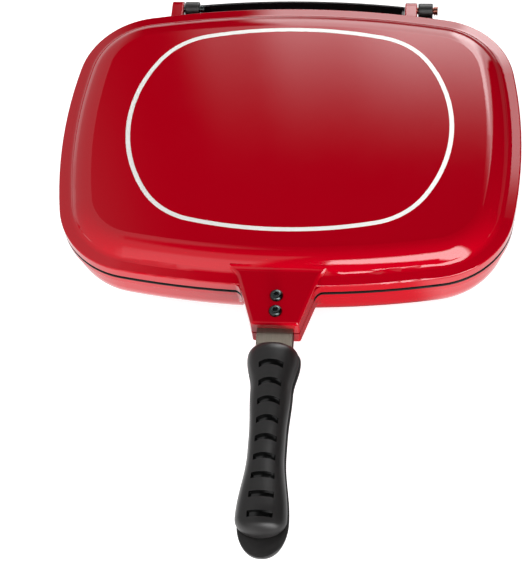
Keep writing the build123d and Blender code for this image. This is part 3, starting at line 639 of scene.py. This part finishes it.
# Glowing patches on the floor that only gloss sees: painted reflections for the pan. One
# lies round the pan, with a dim gap at the front right, one at the rear left, and one
# ahead of the handles.
PAN_HALF_X, PAN_HALF_Y = mm(160.0, 117.0)
ROUND_EDGE, ROUND_LEVEL = mm(30.0, 50.0), 1.2
GAP_SIDES, GAP_LEVEL = mm(-10.0, 30.0, 85.0, 125.0), 0.08
LEFT_EDGE = mm(-100.0, 40.0)
REAR_LEFT_EDGE, REAR_LEFT_LEVEL = mm(-40.0, 0.0), 0.9
AHEAD_EDGE, AHEAD_RIGHT_LEVEL, AHEAD_LEFT_LEVEL = mm(-190.0, -150.0), 0.9, 1.9


def floor_material():
    """Pale and matt. The camera sees it as white, and gloss sees glowing patches on it, painted
    reflections.
    """
    material, g, shader, place = new_material("floor_white")
    shader.inputs["Roughness"].default_value = 0.9
    shader.inputs["Specular IOR Level"].default_value = 0.0
    shader.inputs["Emission Color"].default_value = rgb(1.0, 1.0, 1.0)
    x, y, _ = g.split(place)
    rays = g.node("ShaderNodeLightPath")
    camera, glossy = rays.outputs["Is Camera Ray"], rays.outputs["Is Glossy Ray"]
    g.put(shader.inputs["Base Color"], g.mix(glossy, FLOOR_PALE, FLOOR_IN_GLOSS))
    beside = g.math("SUBTRACT", g.math("ABSOLUTE", x), PAN_HALF_X)
    before = g.math("SUBTRACT", g.math("ABSOLUTE", y), PAN_HALF_Y)
    around = g.smooth(g.math("MAXIMUM", beside, before), *ROUND_EDGE, ROUND_LEVEL, 0.0)
    gap = g.product(g.span(x, *GAP_SIDES), g.math("LESS_THAN", y, 0.0))
    around = g.product(around, g.smooth(gap, 0.0, 1.0, 1.0, GAP_LEVEL))
    left = g.fall(x, *LEFT_EDGE)
    rear_left = g.product(left, g.smooth(y, *REAR_LEFT_EDGE, 0.0, REAR_LEFT_LEVEL))
    ahead_level = g.smooth(left, 0.0, 1.0, AHEAD_RIGHT_LEVEL, AHEAD_LEFT_LEVEL)
    ahead = g.product(g.fall(y, *AHEAD_EDGE), ahead_level)
    beyond = g.math("MAXIMUM", rear_left, ahead)
    # Painted reflections: glowing patches that only glossy rays see.
    gloss_glow = g.product(glossy, g.math("MAXIMUM", around, beyond))
    white = g.product(camera, FLOOR_WHITE)
    g.put(shader.inputs["Emission Strength"], g.math("ADD", gloss_glow, white))
    return material


def plane(name, size, material):
    edge = size / 2
    mesh = bpy.data.meshes.new(name)
    corners = [(-edge, -edge, 0), (edge, -edge, 0), (edge, edge, 0), (-edge, edge, 0)]
    mesh.from_pydata(corners, [], [(0, 1, 2, 3)])
    mesh.materials.append(material)
    return placed(name, mesh)


plane("floor", FLOOR_SIZE, floor_material())


# ---------------------------------------------------------------- lamps


def bearing(azimuth, elevation, distance):
    """A point seen from the object at an azimuth from +Y towards +X, and an elevation."""
    a, e = math.radians(azimuth), math.radians(elevation)
    return Vector((math.sin(a) * math.cos(e), math.cos(a) * math.cos(e), math.sin(e))) * distance


def softbox(name, place, target, size, power):
    """A rectangular area light that faces target, and that gloss doesn't mirror."""
    light = bpy.data.lights.new(name, "AREA")
    light.shape = "RECTANGLE"
    light.size, light.size_y = size
    light.energy = power
    made = placed(name, light)
    made.location = place
    made.rotation_mode = "QUATERNION"
    made.rotation_quaternion = (Vector(target) - Vector(place)).to_track_quat("-Z", "Y")
    made.visible_glossy = False


softbox(
    "key_front_right",
    place=bearing(168, 5.5, 2.0),
    target=(0, -0.1, 0.04),
    size=(0.9, 0.36),
    power=45.0,
)
softbox(
    "fill_left",
    place=bearing(-90, 60, 0.9),
    target=(0, 0, 0.04),
    size=(0.5, 0.5),
    power=1.75,
)


# ---------------------------------------------------------------- world

AMBIENT = 0.72
BACKGROUND = 1.0

# What gloss mirrors. SIDES are edges in azimuth, from +Y towards +X; TOP, FOOT and BLEND
# are edges in elevation.
REAR_LEVEL = 10.0
# The rear panel's left side rises in steps: by how much, from where and to where.
REAR_STEPS_HIGH = ((0.17, -14.5, -12.0), (0.33, -10.5, -8.0), (0.5, -6.0, -1.5))
REAR_STEPS_LOW = ((0.5, -8.5, -6.5), (0.5, 5.0, 9.0))
REAR_BLEND = (40.0, 50.0)
REAR_DIM_SIDES, REAR_DIM_TO = (17.0, 27.0), 0.38
REAR_RIGHT_SIDES = (31.0, 37.0)
REAR_TOP, REAR_TOP_RUN, REAR_TOP_POWER = 56.6, 6.0, 2.6
REAR_FOOT = (-22.0, 24.0)

FRONT_LEVEL, FRONT_SIDES, FRONT_TOP = 9.5, (122.0, 130.0, 180.0, 181.0), (54.0, 60.0)
FRONT_FOOT_FROM, FRONT_FOOT_SLOPE, FRONT_FOOT = 130.0, 0.8, (-2.0, 5.0)
WALL_LEVEL, WALL_SIDES, WALL_TOP = 0.65, (-172.0, -168.0, -28.0, -16.0), (70.0, 78.0)
STRIP_LEVEL, STRIP_SIDES, STRIP_TOP = 0.9, (-172.0, -168.0, -156.0, -140.0), (44.0, 56.0)


def rear_panel(g, azimuth, elevation):
    """A bright panel at the rear, with a stepped left side and a soft top and foot."""

    def stepped(steps):
        total = 0.0
        for rise, start, end in steps:
            total = g.math("ADD", total, g.product(rise, g.smooth(azimuth, start, end)))
        return total

    high, low = stepped(REAR_STEPS_HIGH), stepped(REAR_STEPS_LOW)
    blend = g.smooth(elevation, *REAR_BLEND)
    sides = g.math("ADD", low, g.product(blend, g.math("SUBTRACT", high, low)))
    sides = g.product(sides, g.smooth(azimuth, *REAR_DIM_SIDES, 1.0, REAR_DIM_TO))
    sides = g.product(sides, g.fall(azimuth, *REAR_RIGHT_SIDES))
    below = g.product(g.math("SUBTRACT", REAR_TOP, elevation), 1 / REAR_TOP_RUN)
    top = g.math("MINIMUM", g.math("POWER", below, REAR_TOP_POWER), 1.0)
    top = g.product(top, g.math("LESS_THAN", elevation, REAR_TOP))
    return g.product(REAR_LEVEL, sides, top, g.smooth(elevation, *REAR_FOOT))


def world():
    """Even soft light.

    Gloss mirrors a bright panel at the rear, one at the front right whose foot slopes,
    and a pale wall on the left with a brighter strip at its front.
    """
    made = bpy.data.worlds.new("studio")
    bpy.context.scene.world = made
    made.use_nodes = True
    g = Graph(made.node_tree)
    out = g.node("ShaderNodeOutputWorld")
    x, y, z = g.split(g.node("ShaderNodeTexCoord").outputs["Generated"])
    azimuth = g.math("DEGREES", g.math("ARCTAN2", x, y))
    elevation = g.math("DEGREES", g.math("ARCSINE", z))

    rear = rear_panel(g, azimuth, elevation)
    slope = g.product(g.math("SUBTRACT", azimuth, FRONT_FOOT_FROM), FRONT_FOOT_SLOPE)
    foot = g.smooth(g.math("SUBTRACT", elevation, slope), *FRONT_FOOT)
    front_top = g.fall(elevation, *FRONT_TOP)
    front = g.product(FRONT_LEVEL, g.span(azimuth, *FRONT_SIDES), foot, front_top)
    wall = g.product(WALL_LEVEL, g.span(azimuth, *WALL_SIDES), g.fall(elevation, *WALL_TOP))
    strip = g.product(STRIP_LEVEL, g.span(azimuth, *STRIP_SIDES), g.fall(elevation, *STRIP_TOP))
    mirrored = g.math("ADD", g.math("ADD", rear, front), g.math("ADD", wall, strip))

    rays = g.node("ShaderNodeLightPath")
    glossy, camera = rays.outputs["Is Glossy Ray"], rays.outputs["Is Camera Ray"]
    level = g.math("ADD", AMBIENT, g.product(glossy, g.math("SUBTRACT", mirrored, AMBIENT)))
    level = g.math("ADD", level, g.product(camera, g.math("SUBTRACT", BACKGROUND, level)))
    shader = g.node("ShaderNodeBackground")
    shader.inputs["Color"].default_value = rgb(1.0, 1.0, 1.0)
    g.put(shader.inputs["Strength"], level)
    g.tree.links.new(shader.outputs[0], out.inputs[0])


world()


# ---------------------------------------------------------------- camera

CAMERA_AZIMUTH, CAMERA_ELEVATION, CAMERA_ROLL = 11.73, 59.48, -8.75
CAMERA_TARGET = (-12.51, -108.14, 45.0)
CAMERA_DISTANCE_M = 1.15309
LENS, SENSOR_WIDTH = 110.19, 36.0
CLIP_M = (0.05, 60.0)


def camera():
    """The photograph's view: a long lens from the handle's side, a little to the right."""
    azimuth, elevation = math.radians(CAMERA_AZIMUTH), math.radians(CAMERA_ELEVATION)
    back = Vector((
        math.sin(azimuth) * math.cos(elevation),
        -math.cos(azimuth) * math.cos(elevation),
        math.sin(elevation),
    ))
    roll = Quaternion((0, 0, 1), math.radians(CAMERA_ROLL))
    lens = bpy.data.cameras.new("camera")
    lens.sensor_width = SENSOR_WIDTH
    lens.lens = LENS
    lens.clip_start, lens.clip_end = CLIP_M
    made = placed("camera", lens)
    made.rotation_mode = "QUATERNION"
    made.rotation_quaternion = back.to_track_quat("Z", "Y") @ roll
    made.location = Vector(CAMERA_TARGET) * MM + back * CAMERA_DISTANCE_M
    bpy.context.scene.camera = made


camera()

scene = bpy.context.scene
scene.view_settings.view_transform = "Standard"
scene.view_settings.look = "None"
